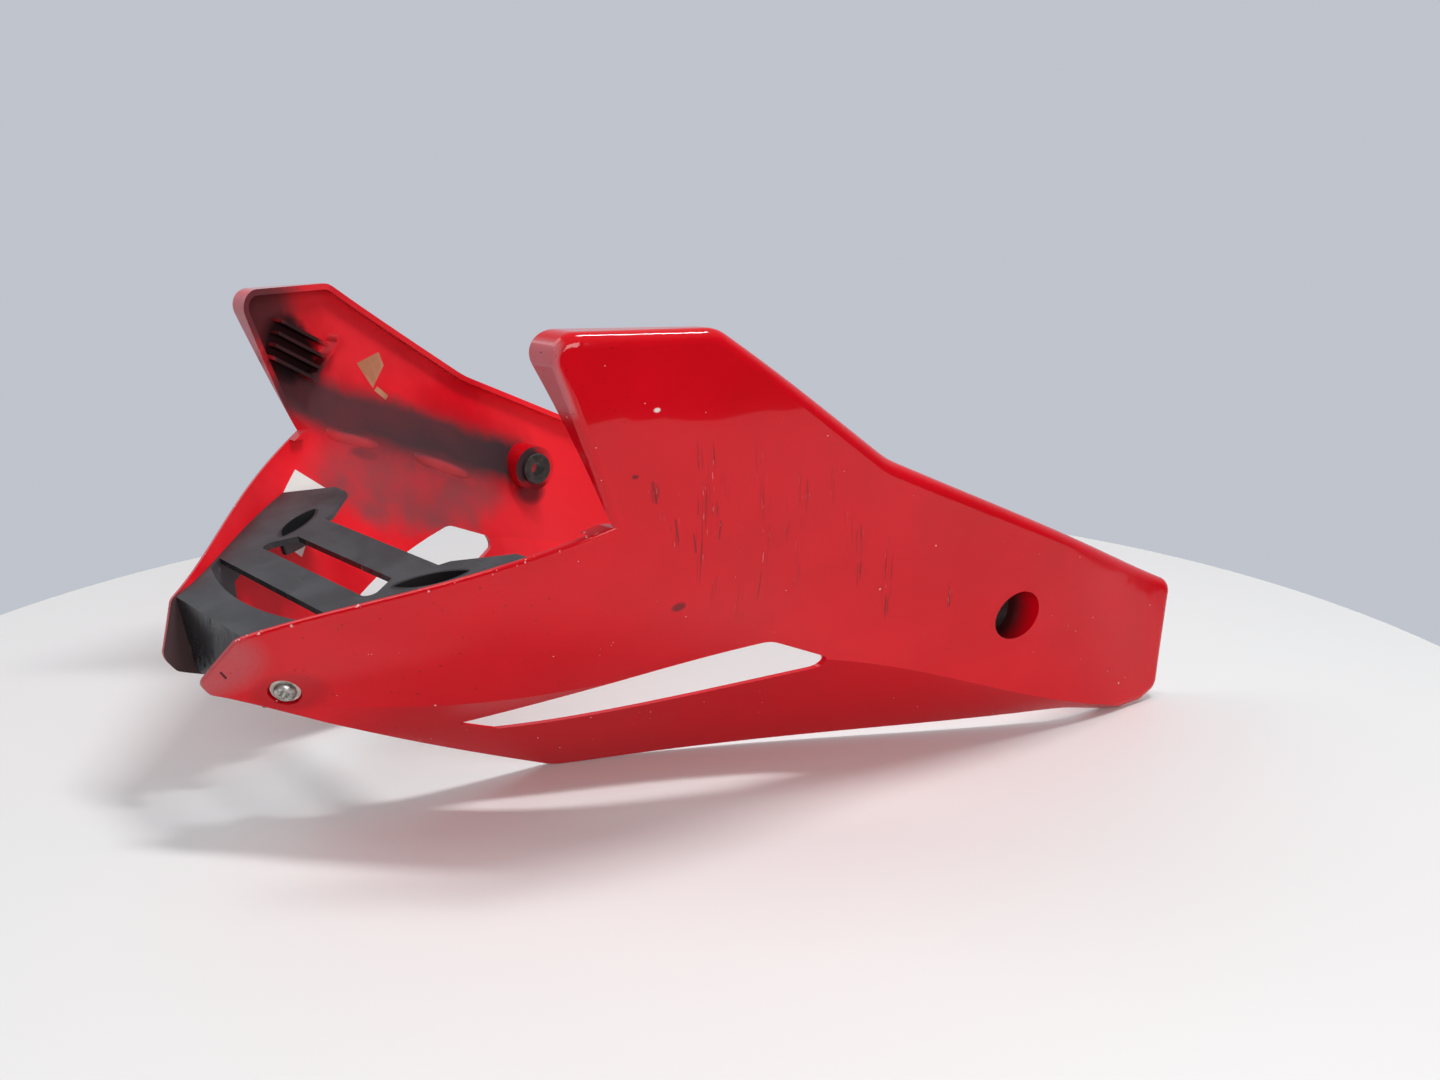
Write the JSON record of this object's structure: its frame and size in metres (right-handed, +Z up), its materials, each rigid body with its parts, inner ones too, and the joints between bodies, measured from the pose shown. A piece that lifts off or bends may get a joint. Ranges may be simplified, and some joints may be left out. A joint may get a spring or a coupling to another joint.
{
  "type": "motorcycle belly pan",
  "caption": "Red motorcycle belly pan: mirrored side panels with raised wings and a long slot, joined at the nose by a dark louvred grille, with rubber grommet mounts at the rear.",
  "frame": {"origin": "on the floor, under the middle of the pan's length and width", "axes": "+Z up, +X to the vehicle's left side, -Y forward to the nose"},
  "size_m": [0.3892, 0.4387, 0.2109],
  "materials": {
    "red_paint": "gloss clear coat over red paint, scuffed",
    "grille_plastic": "dark grey satin, worn at the nose",
    "rubber": "matte black",
    "washer_grey": "dull light grey",
    "screw_steel": "plated",
    "insert_brass": "turned"
  },
  "bodies": {
    "root": {"left_panel": "red_paint", "right_panel": "red_paint", "centre_grille": "grille_plastic", "left_grommet": "rubber", "right_grommet": "rubber", "left_washer": "washer_grey", "right_washer": "washer_grey", "left_screw": "screw_steel", "right_screw": "screw_steel", "left_insert": "insert_brass", "right_insert": "insert_brass"}
  },
  "joints": []
}
